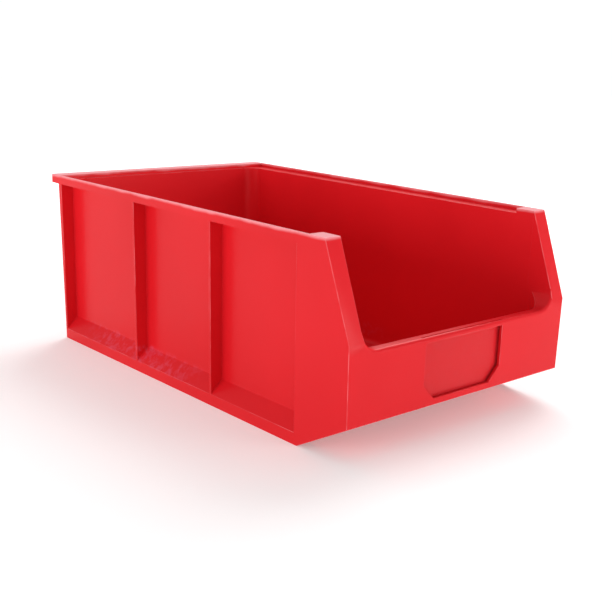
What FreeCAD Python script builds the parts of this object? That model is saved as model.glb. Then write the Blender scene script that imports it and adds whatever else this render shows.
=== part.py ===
import FreeCAD, Part
import math
import os

# Hanging parts bin, millimetres.  X is the width, Y runs from the front face (-Y) to the
# hanging lip (+Y), Z is up.  The origin is the middle of the base rectangle at floor level.

# overall size
length = 520.0              # front face to the rear edge of the hanging lip
width = 310.0               # over the rim
height = 200.0              # floor level to the top of the rim

# walls and mould draft
wall = 3.0                  # floor, walls, flanges and skirts
outer_draft = 3.5           # how far side and back faces lean in from rim to base
inner_draft = 2.0           # how far the inner side walls lean in from rim to floor

# front
lip_height = 103.0          # top of the half-height front wall
lip_depth = 11.0            # front wall, from its outer skin to its inner face
lip_band = 5.0              # height of the lip's front edge above the label pocket
lip_round = 3.5             # radius of the lip's front edge
opening_radius = 20.0       # fillet between the lip and the posts
post_shoulder = 9.0         # front face above the lip, below where the posts lean back
post_setback = 33.5         # how far the posts lean back at the rim
nose_rise = 36.0            # height of the front face's lower edge
nose_run = 66.0             # the sloping underside, front to back

# sides
recess_depth = 15.0         # side panels behind the outer faces of pillars and ribs
pillar_length = 70.0        # front pillar, front to back
rib_thickness = 3.0
rib_shares = (0.305, 0.63)  # ribs along the panel, front to back, as shares of its length
base_strip = 12.0           # upright strip along the base
ledge_head = 26.0           # top of the sloping ledge above that strip
rim_face = 10.0             # height of the rim's outer face

# stacking rim
upstand_height = 5.0        # outer edge of the rim above the stacking ledge
upstand_thickness = 2.5
stack_clearance = 0.8       # nose of the bin above to the stop pads

# hanging lip
hook_depth = 14.0           # back wall to the rear edge of the lip
hook_height = 10.0          # lip's turned-down flange
back_step = 2.0             # back wall set in below the rim, so the stacking deck runs right round

# cavity corners
front_corner_radius = 22.0
back_corner_radius = 18.0
floor_radius = 8.0

# label pocket and its clear window
pocket_width = 110.0        # visible opening
pocket_foot = 42.0          # lower edge of the opening
pocket_chamfer = 15.0
skin = 3.0                  # front skin, and the edge that holds the window
groove_reach = 4.0          # groove behind the opening's edges
window_thickness = 1.2
window_clearance = 0.3      # per side, all round the window
window_sink = 0.6           # top of the window below the top of the lip
label_margin = 2.0          # label space outside the opening, each side
label_gap = 0.4             # room for the label between the window and the pocket's back
front_webs = 2              # stiffening webs in the front wall, each side of the pocket

# worked out
front = -length / 2
post_foot = lip_height + post_shoulder
half = width / 2
body_length = length - hook_depth
rim_foot = height - rim_face
stack_level = height - upstand_height
inner_half = half - recess_depth - wall
slot_thickness = window_thickness + 2 * window_clearance
stop_pad_end = nose_run * (1 - upstand_height / nose_rise) - stack_clearance
past = 5.0                  # how far cutting shapes run past what they cut


def prism_x(outline, x0, x1):
    """Solid from an outline of (distance behind the front face, height)."""
    points = [FreeCAD.Vector(x0, front + y, z) for y, z in outline]
    face = Part.Face(Part.makePolygon(points + points[:1]))
    return face.extrude(FreeCAD.Vector(x1 - x0, 0, 0))


def prism_y(outline, y0, y1):
    """Solid from an outline of (x, height), between two distances behind the front face."""
    points = [FreeCAD.Vector(x, front + y0, z) for x, z in outline]
    face = Part.Face(Part.makePolygon(points + points[:1]))
    return face.extrude(FreeCAD.Vector(0, y1 - y0, 0))


def block(x0, x1, y0, y1, z0, z1):
    return prism_x([(y0, z0), (y1, z0), (y1, z1), (y0, z1)], x0, x1)


def mirrored(solid):
    return solid.mirror(FreeCAD.Vector(0, 0, 0), FreeCAD.Vector(1, 0, 0))


def outer_x(z):
    """Half width of the outer side faces at a height."""
    return half - outer_draft * max(0.0, 1 - z / rim_foot)


def panel_x(z):
    """Outer face of the recessed side wall at a height."""
    return inner_x(z) + wall


def inner_x(z):
    """Inner face of the side wall at a height."""
    return inner_half - inner_draft * (1 - z / height)


def back_y(z):
    """Outer face of the back wall at a height, behind the front face."""
    return body_length - back_step - outer_draft * max(0.0, 1 - z / rim_foot)


def nose_z(y, offset=0.0):
    """Height of the sloping underside, or of a plane parallel to it further in."""
    slope_length = math.hypot(nose_run, nose_rise)
    return nose_rise * (1 - y / nose_run) + offset * slope_length / nose_run


def nose_y(z, offset=0.0):
    """Distance behind the front face at which that plane reaches a height."""
    slope_length = math.hypot(nose_run, nose_rise)
    return nose_run * (1 - z / nose_rise) + offset * slope_length / nose_rise


def post_y(z, offset=0.0):
    """Front edge of the leaning posts at a height, or a plane parallel to it behind."""
    rise = height - post_foot
    lean = post_setback / rise
    return (z - post_foot) * lean + offset * math.hypot(rise, post_setback) / rise


def outer_form():
    """The bin's outside: side view and front view crossed, with the lip block behind."""
    side_view = [(0, nose_rise), (0, post_foot), (post_setback, height), (body_length, height),
                 (body_length, rim_foot), (back_y(rim_foot), rim_foot), (back_y(0), 0),
                 (nose_run, 0)]
    front_view = [(-outer_x(0), 0), (-half, rim_foot), (-half, height),
                  (half, height), (half, rim_foot), (outer_x(0), 0)]
    form = prism_x(side_view, -half, half).common(prism_y(front_view, 0, body_length))
    hook = block(-half, half, body_length - wall, length, height - hook_height, height)
    return form.fuse(hook)


def cavity():
    """The room inside, with rounded corners and floor edges."""
    top = height + past
    side_view = [(lip_depth, top), (lip_depth, nose_z(lip_depth, wall)), (nose_y(wall, wall), wall),
                 (back_y(wall) - wall, wall), (back_y(rim_foot) - wall, rim_foot),
                 (back_y(rim_foot) - wall, top)]
    front_view = [(-inner_x(wall), wall), (-inner_x(top), top), (inner_x(top), top),
                  (inner_x(wall), wall)]
    room = prism_x(side_view, -half, half).common(prism_y(front_view, 0, length))
    room = room.makeFillet(front_corner_radius, upright_edges(room, front, front + nose_run))
    room = room.makeFillet(back_corner_radius, upright_edges(room, 0, -front))
    low = [edge for edge in room.Edges if edge.BoundBox.ZMax < wall + past]
    return room.makeFillet(floor_radius, low)


def upright_edges(solid, y0, y1):
    """Edges between two Y values that rise more than they run, and turn a corner."""
    found = []
    for edge in solid.Edges:
        box = edge.BoundBox
        steep = box.ZLength > rim_face and box.ZLength > box.YLength
        if steep and y0 <= box.YMin and box.YMax <= y1:
            found.append(edge)
    return found


def side_bays():
    """The recessed panels between pillar, ribs and back wall, as (start, end) behind the front."""
    end = back_y(0) - wall
    panel = end - pillar_length
    bays, start = [], pillar_length
    for share in rib_shares:
        middle = pillar_length + share * panel
        bays.append((start, middle - rib_thickness / 2))
        start = middle + rib_thickness / 2
    bays.append((start, end))
    return bays


def side_recess(y0, y1):
    """One bay outside the left wall: panel, sloping ledge and the underside of the rim."""
    deck = stack_level - wall
    skirt = half - upstand_thickness
    outside = half + past
    outline = [(outside, base_strip), (outer_x(base_strip), base_strip),
               (panel_x(ledge_head), ledge_head), (panel_x(deck), deck), (skirt, deck),
               (skirt, rim_foot), (outside, rim_foot)]
    return prism_y(outline, y0, y1)


def base_channel(y0, y1):
    """The hollow under one bay's ledge, open at the bottom."""
    run = outer_x(base_strip) - panel_x(ledge_head)
    rise = ledge_head - base_strip
    drop = wall * math.hypot(run, rise) / run
    inside = panel_x(0)
    outside = outer_x(0) - wall
    outline = [(inside, -past), (inside, base_strip - drop + rise / run * (outer_x(base_strip) - inside)),
               (outside, base_strip - drop + rise / run * (outer_x(base_strip) - outside)),
               (outside, -past)]
    return prism_y(outline, y0, y1)


def pillar_hollow():
    """The room inside one front pillar, open at the bottom."""
    top = stack_level - wall
    rear = pillar_length - wall
    side_view = [(post_y(post_foot, wall), -past), (post_y(post_foot, wall), post_foot),
                 (post_y(top, wall), top), (rear, top), (rear, -past)]
    front_view = [(panel_x(-past), -past), (panel_x(top), top), (outer_x(top) - wall, top),
                  (outer_x(-past) - wall, -past)]
    return prism_x(side_view, 0, half).common(prism_y(front_view, 0, length))


def front_opening():
    """The gap between the posts above the front wall, with rounded lower corners."""
    top = height + past
    radius = opening_radius
    side = inner_x(lip_height + radius)
    bend = math.radians(45)
    corner = []
    for sign in (-1, 1):
        centre = FreeCAD.Vector(sign * (side - radius), front - past, lip_height + radius)
        middle = centre + FreeCAD.Vector(sign * math.cos(bend), 0, -math.sin(bend)) * radius
        low = centre - FreeCAD.Vector(0, 0, radius)
        high = centre + FreeCAD.Vector(sign * radius, 0, 0)
        corner.append((low, middle, high, FreeCAD.Vector(sign * inner_x(top), front - past, top)))
    left, right = corner
    edges = [Part.makeLine(left[3], left[2]), Part.Arc(left[2], left[1], left[0]).toShape(),
             Part.makeLine(left[0], right[0]), Part.Arc(right[0], right[1], right[2]).toShape(),
             Part.makeLine(right[2], right[3]), Part.makeLine(right[3], left[3])]
    reach = past + lip_depth + front_corner_radius
    return Part.Face(Part.Wire(edges)).extrude(FreeCAD.Vector(0, reach, 0))


def lip_rounding():
    """Takes the sharp corner off the lip's front edge and off the fillets at its ends."""
    side = inner_x(lip_height + opening_radius)
    straight = side - opening_radius
    level = lip_height - lip_round
    bend = math.radians(45)
    centre = FreeCAD.Vector(0, front + lip_round, level)
    corners = [FreeCAD.Vector(0, front - past, level), FreeCAD.Vector(0, front, level),
               centre + FreeCAD.Vector(0, -math.cos(bend), math.sin(bend)) * lip_round,
               FreeCAD.Vector(0, front + lip_round, lip_height),
               FreeCAD.Vector(0, front + lip_round, lip_height + past),
               FreeCAD.Vector(0, front - past, lip_height + past)]
    foot, start, middle, end, above, ahead = corners
    edges = [Part.makeLine(foot, start), Part.Arc(start, middle, end).toShape(),
             Part.makeLine(end, above), Part.makeLine(above, ahead), Part.makeLine(ahead, foot)]
    profile = Part.Face(Part.Wire(edges))
    profile.translate(FreeCAD.Vector(straight, 0, 0))
    along = profile.extrude(FreeCAD.Vector(-2 * straight, 0, 0))
    pivot = FreeCAD.Vector(straight, 0, lip_height + opening_radius)
    turn = profile.revolve(pivot, FreeCAD.Vector(0, -1, 0), 90)
    return along.fuse([turn, mirrored(turn)])


def pocket_outline(margin, top):
    """Label pocket seen from the front, grown by a margin; its lower corners are cut off."""
    x = pocket_width / 2 + margin
    foot = pocket_foot - margin
    cut = pocket_chamfer + margin * (2 - math.sqrt(2))
    return [(-x, top), (-x, foot + cut), (-x + cut, foot), (x - cut, foot), (x, foot + cut), (x, top)]


def front_hollow():
    """The room between the front skin and the inner wall, with webs and the pocket's frame left."""
    top = lip_height - wall
    deep = lip_depth - wall
    front_view = [(-inner_x(-past), -past), (-inner_x(top), top), (inner_x(top), top),
                  (inner_x(-past), -past)]
    hollow = prism_y(front_view, skin, deep)
    frame_edge = pocket_width / 2 + groove_reach + wall
    spacing = (inner_x(lip_height) - frame_edge) / (front_webs + 1)
    for number in range(1, front_webs + 1):
        x = frame_edge + number * spacing
        for left in (-x - wall / 2, x - wall / 2):
            hollow = hollow.cut(block(left, left + wall, 0, length, -past, height))
    return hollow.cut(prism_y(pocket_outline(groove_reach + wall, height), 0, length))


def label_pocket():
    """The opening in the skin, the window's groove and slot, and the label space behind it."""
    band_foot = lip_height - lip_band
    opening = prism_y(pocket_outline(0, band_foot), -past, skin)
    groove = prism_y(pocket_outline(groove_reach, lip_height + past), skin, skin + slot_thickness)
    back = skin + slot_thickness + label_gap
    labels = prism_y(pocket_outline(label_margin, band_foot), skin, back)
    return opening.fuse([groove, labels])


def hook_slot():
    """The slot behind the back wall that drops over a louvre or rail."""
    end = half - wall
    return block(-end, end, body_length, length - wall, 0, height - wall)


def bin_body():
    """The whole moulding."""
    cuts = [cavity(), front_opening(), lip_rounding(), front_hollow(), label_pocket(), hook_slot()]
    deck = half - upstand_thickness
    cuts.append(block(-deck, deck, stop_pad_end, body_length - wall, stack_level, height + past))
    sided = [pillar_hollow()]
    for y0, y1 in side_bays():
        sided += [side_recess(y0, y1), base_channel(y0, y1)]
    for solid in sided:
        cuts += [solid, mirrored(solid)]
    return outer_form().cut(cuts).removeSplitter()


def label_window():
    """Clear window that slides down into the pocket's groove."""
    outline = pocket_outline(groove_reach - window_clearance, lip_height - window_sink)
    start = skin + window_clearance
    return prism_y(outline, start, start + window_thickness)


if __name__ == "__main__":
    os.makedirs("parts", exist_ok=True)
    for node, make in (("bin_body", bin_body), ("label_window", label_window)):
        shape = make()
        print(node, "solids", len(shape.Solids), "valid", shape.isValid(), "cm3", shape.Volume / 1000)
        shape.exportStep("parts/" + node + ".step")
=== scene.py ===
import bpy, bmesh, math
from mathutils import Matrix, Vector


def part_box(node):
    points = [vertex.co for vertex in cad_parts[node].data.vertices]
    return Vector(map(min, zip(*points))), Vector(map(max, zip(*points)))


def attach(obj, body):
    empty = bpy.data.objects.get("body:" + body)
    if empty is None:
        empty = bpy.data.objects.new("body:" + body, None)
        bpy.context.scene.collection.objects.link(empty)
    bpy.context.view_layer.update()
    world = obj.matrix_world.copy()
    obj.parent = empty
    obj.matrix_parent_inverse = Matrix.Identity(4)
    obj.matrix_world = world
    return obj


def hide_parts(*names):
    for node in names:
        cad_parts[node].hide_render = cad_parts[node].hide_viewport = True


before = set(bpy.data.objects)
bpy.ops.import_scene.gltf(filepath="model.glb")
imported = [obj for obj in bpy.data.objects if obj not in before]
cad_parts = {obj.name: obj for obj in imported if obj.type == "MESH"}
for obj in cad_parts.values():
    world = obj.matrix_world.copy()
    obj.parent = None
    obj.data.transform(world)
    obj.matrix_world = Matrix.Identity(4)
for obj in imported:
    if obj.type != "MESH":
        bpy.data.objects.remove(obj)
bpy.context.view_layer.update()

# Hanging parts bin: red polypropylene moulding, clear label window, studio set.
# X runs across the bin, Y from the open front to the hanging lip, Z up, all in metres.

bodyLow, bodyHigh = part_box("bin_body")
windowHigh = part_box("label_window")[1]      # its upper corner
shelf = bpy.context.scene.collection


# The moulding is the CAD body with its triangles joined into flat faces and its edges rounded.
mouldingSettings = {
    "mergeDistance": 0.00001,
    "cutDistance": 0.000001,
    "flatAngle": math.radians(0.6),     # faces closer to flat than this are joined
    "roundedAngle": math.radians(32),   # edges sharper than this are rounded
    "edgeRound": 0.0005,
    "roundSegments": 2,
    "sharpAngle": math.radians(40),     # edges left sharper than this keep a hard line
    "flatWeight": 100,                  # the flat faces set the shading of the rounded edges
    "skin": 0.003,                      # front skin; the double wall behind it stays square
    "doubleWall": 0.008,
    "grooveReach": 0.0037,              # window behind the pocket's edge
    "windowOverBand": 0.0044,           # window's top above the label space
    # painted highlight on edges that stand out and on the rim's top, also standing for rub wear
    "edgeRubAndHighlight": 1.0,
    "topHighlightAndRub": 0.9,                   # the rim's top: painted highlight, also rub wear where stacked bins slide
    "topDepth": 0.0008,                 # what lies this close to the highest point is the top
    "topFacing": 0.3,                   # if it also faces upwards at least this much
}


def cutFlats(work, axis, places):
    # cuts the flat faces along a plane, so that none of them goes round a hole
    normal = Vector((0, 0, 0))
    normal[axis] = 1
    for place in places:
        everything = work.verts[:] + work.edges[:] + work.faces[:]
        cut = bmesh.ops.bisect_plane(
            work, geom=everything, dist=mouldingSettings["cutDistance"],
            plane_co=normal * place, plane_no=normal)
        for part in cut["geom_cut"]:
            if isinstance(part, bmesh.types.BMEdge):
                part.seam = True


def joinFlats(work):
    s = mouldingSettings
    bmesh.ops.remove_doubles(work, verts=work.verts, dist=s["mergeDistance"])
    pocketHalf = windowHigh.x - s["grooveReach"]
    cutFlats(work, 0, (-pocketHalf, pocketHalf))
    cutFlats(work, 2, (windowHigh.z - s["windowOverBand"],))
    bmesh.ops.dissolve_limit(
        work, angle_limit=s["flatAngle"], verts=work.verts, edges=work.edges, delimit={"SEAM"})


def roundEdges(work):
    # rounds every sharp edge but those inside the double wall, and gives the new faces back
    s = mouldingSettings
    nearest = bodyLow.y + s["skin"] - s["mergeDistance"]
    furthest = bodyLow.y + s["doubleWall"] + s["mergeDistance"]
    sharp = []
    for edge in work.edges:
        inWall = all(nearest < v.co.y < furthest for v in edge.verts)
        if edge.calc_face_angle(0.0) > s["roundedAngle"] and not inWall:
            sharp.append(edge)
    made = bmesh.ops.bevel(
        work, geom=sharp, offset=s["edgeRound"], offset_type="OFFSET", affect="EDGES",
        segments=s["roundSegments"], profile=0.5, clamp_overlap=False)
    work.normal_update()
    print("moulding:", len(sharp), "edges rounded")
    return made["faces"]


# marks edges that stand out and the rim's top for a painted highlight that also stands for rub wear
def markWearAndHighlight(work, wearAndHighlight, roundedFaces):
    s = mouldingSettings
    for face in roundedFaces:
        middle = face.calc_center_median()
        around = [other for edge in face.edges for other in edge.link_faces if other is not face]
        if sum((other.calc_center_median() - middle).dot(face.normal) for other in around) < 0:
            face[wearAndHighlight] = s["edgeRubAndHighlight"]     # painted highlight and rub wear, only on edges that stand out
    for face in work.faces:
        high = face.calc_center_median().z > bodyHigh.z - s["topDepth"]
        if high and face.normal.z > s["topFacing"]:
            face[wearAndHighlight] = s["topHighlightAndRub"]


def makeMoulding():
    s = mouldingSettings
    work = bmesh.new()
    work.from_mesh(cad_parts["bin_body"].data)
    joinFlats(work)
    wearAndHighlight = work.faces.layers.float.new("edgeWearAndHighlight")
    markWearAndHighlight(work, wearAndHighlight, roundEdges(work))
    bmesh.ops.remove_doubles(work, verts=work.verts, dist=s["mergeDistance"])
    for face in work.faces:
        face.smooth = True
    for edge in work.edges:
        edge.seam = False
        edge.smooth = edge.calc_face_angle(0.0) < s["sharpAngle"]
    mesh = bpy.data.meshes.new("redMoulding")
    work.to_mesh(mesh)
    work.free()
    piece = bpy.data.objects.new("redMoulding", mesh)
    shelf.objects.link(piece)
    shading = piece.modifiers.new("flatShading", "WEIGHTED_NORMAL")
    shading.weight = s["flatWeight"]
    shading.keep_sharp = True
    print("moulding:", len(mesh.polygons), "faces")
    return piece


def addNode(tree, kind, **values):
    node = tree.nodes.new("ShaderNode" + kind)
    for name, value in values.items():
        setattr(node, name, value)
    return node


def setInputs(node, values):
    for name, value in values.items():
        node.inputs[name].default_value = value


def newMaterial(name, values):
    material = bpy.data.materials.new(name)
    material.use_nodes = True
    tree = material.node_tree
    shader = tree.nodes["Principled BSDF"]
    setInputs(shader, values)
    return material, tree, shader


def noise(tree, place, scale, detail, roughness=0.5):
    node = addNode(tree, "TexNoise")
    setInputs(node, {"Scale": scale, "Detail": detail, "Roughness": roughness})
    tree.links.new(place, node.inputs["Vector"])
    return node.outputs[0]


def stretch(tree, value, low, high, toLow=0.0, toHigh=1.0):
    # maps a value from one range to another, and holds it there
    node = addNode(tree, "MapRange", interpolation_type="SMOOTHSTEP")
    setInputs(node, {"From Min": low, "From Max": high, "To Min": toLow, "To Max": toHigh})
    tree.links.new(value, node.inputs["Value"])
    return node.outputs["Result"]


def patches(tree, place, pattern):
    # soft uneven patches: a range of the noise becomes a range of values
    texture = noise(tree, place, *pattern["noise"])
    return stretch(tree, texture, *pattern["range"], *pattern["values"])


def combine(tree, operation, first, second=0.0):
    node = addNode(tree, "Math", operation=operation)
    for socket, value in zip(node.inputs, (first, second)):
        if isinstance(value, (int, float)):
            socket.default_value = value
        else:
            tree.links.new(value, socket)
    return node.outputs["Value"]


def blend(tree, factor, first, second):
    node = addNode(tree, "Mix", data_type="RGBA")
    tree.links.new(factor, node.inputs["Factor"])
    for socket, value in ((node.inputs["A"], first), (node.inputs["B"], second)):
        if isinstance(value, tuple):
            socket.default_value = value
        else:
            tree.links.new(value, socket)
    return node.outputs["Result"]


# Noise is a scale and a detail, and a roughness where it isn't 0.5.
redSettings = {
    "shader": {"Specular IOR Level": 0.1, "IOR": 1.49, "Coat Weight": 0.05, "Coat Roughness": 0.12},
    "deepRed": (0.67, 0.0100, 0.0155, 1),
    "brightRed": (0.72, 0.0120, 0.0185, 1),
    "wornAndHighlightRed": (0.86, 0.20, 0.22, 1),       # painted highlight along edges that stand out, together with their rub wear
    "scuffPink": (0.68, 0.11, 0.19, 1),     # scuffs on the ledges
    "rimHighlightPink": (0.92, 0.34, 0.37, 1),       # painted highlight along the top of the rim, also rub wear where stacked bins slide
    "flow": {"noise": (6.0, 2.0), "range": (0.3, 0.7), "values": (0.0, 1.0)},
    # patches that vary the painted edge highlight and its rub wear
    "rubAndHighlightPatches": {"noise": (45.0, 3.0), "range": (0.35, 0.65), "values": (0.15, 0.6)},
    "gloss": {"noise": (9.0, 1.0), "range": (0.2, 0.8), "values": (0.285, 0.35)},
    "blotches": {"noise": (110.0, 5.0, 0.65), "range": (0.42, 0.72), "values": (0.0, 1.0)},
    # the rim's painted highlight band: its height, waver, noise and strength
    "rimBand": 0.0035,
    "rimWaver": 0.004,
    "rimNoise": (35.0, 2.0),
    "rimHighlightStrength": 0.75,
    "scuffStrength": 0.45,
    "scuffRoughness": 0.2,
    "scuffMiddle": 0.085,                   # middle of the scuffed stretch, and half its length
    "scuffReach": 0.135,
    "scuffCore": 0.4,                       # share of the reach that is fully scuffed
    "ledgeInside": 0.134,
    "ledgeFoot": 0.010,
    "ledgeTop": 0.027,
    "insideFade": 0.002,
    "footFade": 0.003,
    "topFade": 0.004,
    "waveNoise": (14.0, 0.0),
    "waves": {"Strength": 0.5, "Distance": 0.0012},
    "grainNoise": (900.0, 2.0),
    "grain": {"Strength": 0.08, "Distance": 0.00003},
}


def splitAxes(tree, place):
    node = addNode(tree, "SeparateXYZ")
    tree.links.new(place, node.inputs[0])
    return node.outputs


def scuffMask(tree, place):
    # scuffs on the ledges along the base, towards the back
    s = redSettings
    axes = splitAxes(tree, place)
    across = combine(tree, "ABSOLUTE", axes["X"])
    away = combine(tree, "ABSOLUTE", combine(tree, "SUBTRACT", axes["Y"], s["scuffMiddle"]))
    mask = stretch(tree, across, s["ledgeInside"], s["ledgeInside"] + s["insideFade"])
    for part in (
            stretch(tree, axes["Z"], s["ledgeFoot"], s["ledgeFoot"] + s["footFade"]),
            stretch(tree, axes["Z"], s["ledgeTop"], s["ledgeTop"] + s["topFade"], 1.0, 0.0),
            stretch(tree, away, s["scuffReach"] * s["scuffCore"], s["scuffReach"], 1.0, 0.0),
            patches(tree, place, s["blotches"])):
        mask = combine(tree, "MULTIPLY", mask, part)
    return mask


def rimHighlightMask(tree, place):
    # a wavering band along the top of the rim: painted highlight, also rub wear from stacked bins
    s = redSettings
    waver = combine(tree, "MULTIPLY", noise(tree, place, *s["rimNoise"]), s["rimWaver"])
    height = combine(tree, "ADD", splitAxes(tree, place)["Z"], waver)
    top = bodyHigh.z + s["rimWaver"] / 2
    return stretch(tree, height, top - s["rimBand"], top)


def addBump(tree, place, pattern, values):
    bump = addNode(tree, "Bump")
    setInputs(bump, values)
    tree.links.new(noise(tree, place, *pattern), bump.inputs["Height"])
    return bump


def makeRed():
    s = redSettings
    material, tree, shader = newMaterial("redPolypropylene", s["shader"])
    place = addNode(tree, "TexCoord").outputs["Object"]
    colour = blend(tree, patches(tree, place, s["flow"]), s["deepRed"], s["brightRed"])
    # edges that stand out get a lighter pink: painted highlight together with rub wear
    edges = addNode(tree, "Attribute", attribute_name="edgeWearAndHighlight").outputs["Fac"]
    rubbedAndHighlighted = combine(tree, "MULTIPLY", edges, patches(tree, place, s["rubAndHighlightPatches"]))
    colour = blend(tree, rubbedAndHighlighted, colour, s["wornAndHighlightRed"])
    # the rim's top gets a pink band: painted highlight, also rub wear
    rim = combine(tree, "MULTIPLY", rimHighlightMask(tree, place), s["rimHighlightStrength"])
    colour = blend(tree, rim, colour, s["rimHighlightPink"])
    scuffs = scuffMask(tree, place)
    scuffed = combine(tree, "MULTIPLY", scuffs, s["scuffStrength"])
    colour = blend(tree, scuffed, colour, s["scuffPink"])
    tree.links.new(colour, shader.inputs["Base Color"])
    dulled = combine(tree, "MULTIPLY", scuffs, s["scuffRoughness"])
    roughness = combine(tree, "ADD", patches(tree, place, s["gloss"]), dulled)
    tree.links.new(roughness, shader.inputs["Roughness"])
    waves = addBump(tree, place, s["waveNoise"], s["waves"])
    grain = addBump(tree, place, s["grainNoise"], s["grain"])
    tree.links.new(waves.outputs["Normal"], grain.inputs["Normal"])
    tree.links.new(grain.outputs["Normal"], shader.inputs["Normal"])
    return material


moulding = makeMoulding()
red = makeRed()
moulding.data.materials.append(red)
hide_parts("bin_body")
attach(moulding, "bin")


# Ejector pins leave a grid of faint rings on the floor inside.
pinSettings = {
    "columns": 3,
    "rows": 5,
    "across": 0.092,                    # from ring to ring
    "along": 0.088,
    "pinRadius": 0.006,
    "ridge": 0.0006,                    # half the ridge's width
    "sunk": 0.0003,                     # how deep the ridge's middle lies in the floor
    "floor": 0.003,                     # top of the bin's floor
    "middle": 0.015,                    # middle of the grid, towards the back
    "ringSteps": 40,
    "ridgeSteps": 8,
}
pinInputs = {
    "columns": "Int", "rows": "Int", "across": "Float", "along": "Float",
    "pinRadius": "Float", "ridge": "Float", "finish": "Material",
}


def pinGridSize(tree, count, gap):
    gaps = addNode(tree, "Math", operation="SUBTRACT")
    gaps.inputs[1].default_value = 1
    tree.links.new(count, gaps.inputs[0])
    size = addNode(tree, "Math", operation="MULTIPLY")
    tree.links.new(gaps.outputs[0], size.inputs[0])
    tree.links.new(gap, size.inputs[1])
    return size.outputs[0]


def makePinTree():
    s = pinSettings
    tree = bpy.data.node_groups.new("pinMarks", "GeometryNodeTree")
    sides = tree.interface
    sides.new_socket("Geometry", in_out="INPUT", socket_type="NodeSocketGeometry")
    sockets = {}
    for name, kind in pinInputs.items():
        sockets[name] = sides.new_socket(name, in_out="INPUT", socket_type="NodeSocket" + kind)
    sides.new_socket("Geometry", in_out="OUTPUT", socket_type="NodeSocketGeometry")
    entry = tree.nodes.new("NodeGroupInput").outputs
    grid = tree.nodes.new("GeometryNodeMeshGrid")
    tree.links.new(pinGridSize(tree, entry["columns"], entry["across"]), grid.inputs["Size X"])
    tree.links.new(pinGridSize(tree, entry["rows"], entry["along"]), grid.inputs["Size Y"])
    tree.links.new(entry["columns"], grid.inputs["Vertices X"])
    tree.links.new(entry["rows"], grid.inputs["Vertices Y"])
    circles = []
    for radius, steps in (("pinRadius", s["ringSteps"]), ("ridge", s["ridgeSteps"])):
        circle = tree.nodes.new("GeometryNodeCurvePrimitiveCircle")
        circle.inputs["Resolution"].default_value = steps
        tree.links.new(entry[radius], circle.inputs["Radius"])
        circles.append(circle.outputs["Curve"])
    ridge = tree.nodes.new("GeometryNodeCurveToMesh")
    tree.links.new(circles[0], ridge.inputs["Curve"])
    tree.links.new(circles[1], ridge.inputs["Profile Curve"])
    spread = tree.nodes.new("GeometryNodeInstanceOnPoints")
    tree.links.new(grid.outputs["Mesh"], spread.inputs["Points"])
    tree.links.new(ridge.outputs["Mesh"], spread.inputs["Instance"])
    real = tree.nodes.new("GeometryNodeRealizeInstances")
    tree.links.new(spread.outputs["Instances"], real.inputs["Geometry"])
    finish = tree.nodes.new("GeometryNodeSetMaterial")
    tree.links.new(real.outputs["Geometry"], finish.inputs["Geometry"])
    tree.links.new(entry["finish"], finish.inputs["Material"])
    leave = tree.nodes.new("NodeGroupOutput")
    tree.links.new(finish.outputs["Geometry"], leave.inputs["Geometry"])
    return tree, sockets


def makePinMarks(finish):
    s = pinSettings
    tree, sockets = makePinTree()
    maker = bpy.data.objects.new("pinMarkMaker", bpy.data.meshes.new("pinMarkSeed"))
    shelf.objects.link(maker)
    modifier = maker.modifiers.new("pinMarks", "NODES")
    modifier.node_group = tree
    for name, socket in sockets.items():
        modifier[socket.identifier] = finish if name == "finish" else s[name]
    seen = maker.evaluated_get(bpy.context.evaluated_depsgraph_get())
    mesh = bpy.data.meshes.new_from_object(seen)
    bpy.data.objects.remove(maker)
    mesh.name = "pinMarks"
    mesh.transform(Matrix.Translation((0, s["middle"], s["floor"] - s["sunk"])))
    for polygon in mesh.polygons:
        polygon.use_smooth = True
    marks = bpy.data.objects.new("pinMarks", mesh)
    shelf.objects.link(marks)
    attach(marks, "bin")
    print("pin marks:", s["columns"] * s["rows"], "rings,", len(mesh.polygons), "faces")


makePinMarks(red)


# The window keeps its CAD mesh. Its sheet is thin and clear, with faint smears.
clearSettings = {
    "shader": {"Base Color": (0.25, 0.08, 0.08, 1), "Alpha": 0.035, "IOR": 1.49},
    "smears": {"noise": (30.0, 3.0), "range": (0.3, 0.7), "values": (0.04, 0.16)},
}


def makeClear():
    material, tree, shader = newMaterial("clearSheet", clearSettings["shader"])
    place = addNode(tree, "TexCoord").outputs["Object"]
    tree.links.new(patches(tree, place, clearSettings["smears"]), shader.inputs["Roughness"])
    return material


clear = makeClear()
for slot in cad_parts["label_window"].material_slots:
    slot.material = clear
print("finishes: red moulding, clear window")


studioSettings = {
    "floorHalf": 8.0,
    "glowingFloorPaint": {"Base Color": (0.9, 0.9, 0.9, 1), "Roughness": 0.8, "Specular IOR Level": 0.1,
                   "Emission Color": (1, 1, 1, 1)},
    "floorGlow": (0.22, 0.55),          # painted light: the floor glows, weaker under the bin and stronger further out
    "glowReach": (0.5, 2.0),
    "horizonLight": 1.02,
    "skyLight": 0.58,
    "horizonBand": (0.06, 0.2),         # how far upwards horizon light fades into sky light
    "lights": {
        "sideLight": {"place": (-2.1, 0.3, 0.5), "aim": (0, 0, 0.1), "size": (1.4, 0.5), "power": 14.2},
        "frontLight": {"place": (0.9, -2.2, 0.4), "aim": (0, 0, 0.1), "size": (1.2, 0.6), "power": 16.2},
        "topLight": {"place": (1.2, 0.6, 1.6), "aim": (0, 0, 0.2), "size": (1.5, 1.5), "power": 28},
    },
    "viewTransform": "Standard",        # clean product colours
}


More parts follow.
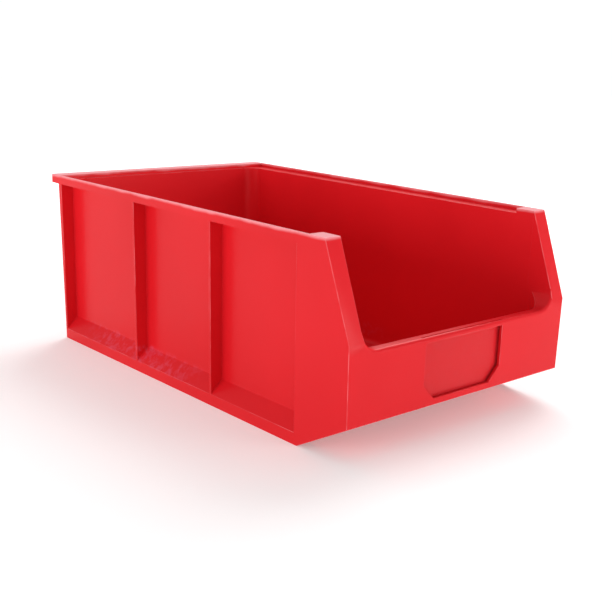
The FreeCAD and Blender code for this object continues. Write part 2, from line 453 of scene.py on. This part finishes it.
def makeFloor():
    s = studioSettings
    h = s["floorHalf"]
    mesh = bpy.data.meshes.new("studioFloor")
    mesh.from_pydata([(-h, -h, 0), (h, -h, 0), (h, h, 0), (-h, h, 0)], [], [(0, 1, 2, 3)])
    floor = bpy.data.objects.new("studioFloor", mesh)
    shelf.objects.link(floor)
    material, tree, shader = newMaterial("glowingFloorPaint", s["glowingFloorPaint"])
    reach = addNode(tree, "VectorMath", operation="LENGTH")
    tree.links.new(addNode(tree, "TexCoord").outputs["Object"], reach.inputs[0])
    # painted light: the floor's own glow, weaker near the bin and stronger further out
    glow = stretch(tree, reach.outputs["Value"], *s["glowReach"], *s["floorGlow"])
    tree.links.new(glow, shader.inputs["Emission Strength"])
    mesh.materials.append(material)


def makeWorld():
    s = studioSettings
    world = bpy.data.worlds.new("studioWorld")
    bpy.context.scene.world = world
    world.use_nodes = True
    tree = world.node_tree
    upward = splitAxes(tree, addNode(tree, "TexCoord").outputs["Generated"])["Z"]
    strength = stretch(tree, upward, *s["horizonBand"], s["horizonLight"], s["skyLight"])
    tree.links.new(strength, tree.nodes["Background"].inputs["Strength"])
    tree.nodes["Background"].inputs["Color"].default_value = (1, 1, 1, 1)


def makeLights():
    for name, s in studioSettings["lights"].items():
        light = bpy.data.lights.new(name, "AREA")
        light.shape = "RECTANGLE"
        light.size, light.size_y = s["size"]
        light.energy = s["power"]
        lamp = bpy.data.objects.new(name, light)
        lamp.location = s["place"]
        beam = Vector(s["aim"]) - Vector(s["place"])
        lamp.rotation_euler = beam.to_track_quat("-Z", "Y").to_euler()
        shelf.objects.link(lamp)


cameraSettings = {
    "place": (-0.7184, -0.838, 0.3528),
    "azimuth": math.radians(-41.68),
    "elevation": math.radians(14.35),
    "roll": math.radians(1.93),
    "lens": 58.75,
}


def makeCamera():
    s = cameraSettings
    data = bpy.data.cameras.new("studioCamera")
    data.lens = s["lens"]
    camera = bpy.data.objects.new("studioCamera", data)
    aim = Matrix.Rotation(s["azimuth"], 4, "Z") @ Matrix.Rotation(math.pi / 2 - s["elevation"], 4, "X")
    camera.matrix_world = Matrix.Translation(s["place"]) @ aim @ Matrix.Rotation(s["roll"], 4, "Z")
    shelf.objects.link(camera)
    bpy.context.scene.camera = camera


makeFloor()
makeWorld()
makeLights()
makeCamera()
bpy.context.scene.view_settings.view_transform = studioSettings["viewTransform"]
print("studio: floor, world, lights, camera")
